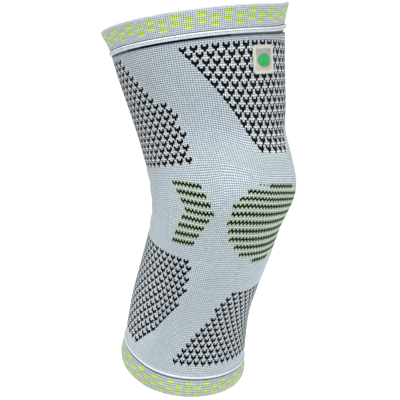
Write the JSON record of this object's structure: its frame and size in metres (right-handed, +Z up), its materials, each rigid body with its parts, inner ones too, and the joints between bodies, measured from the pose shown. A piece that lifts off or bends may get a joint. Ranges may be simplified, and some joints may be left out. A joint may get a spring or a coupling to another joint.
{
  "type": "knee sleeve",
  "caption": "Knitted compression sleeve for a slightly bent knee: an open tube with an elastic cuff and welt at each end and a small label.",
  "frame": {"origin": "middle of the knee, inside the sleeve, where it sits on a leg", "axes": "+Z up along the standing leg, the kneecap faces -Y, +X to the right when it is seen from the front"},
  "size_m": [0.155, 0.1756, 0.3336],
  "materials": {
    "body_knit": "matt pale blue-grey knit with black houndstooth panels and lime zigzag stripes",
    "cuff_knit": "matt pale grey elastic knit with lime blocks",
    "welt_knit": "matt near-white rolled knit",
    "label_rubber": "soft translucent pale grey-beige film with a plain green mark"
  },
  "bodies": {
    "root": {"sleeve_body": "body_knit", "upper_welt": "welt_knit", "upper_cuff": "cuff_knit", "lower_welt": "welt_knit", "lower_cuff": "cuff_knit", "label": "label_rubber"}
  },
  "joints": []
}
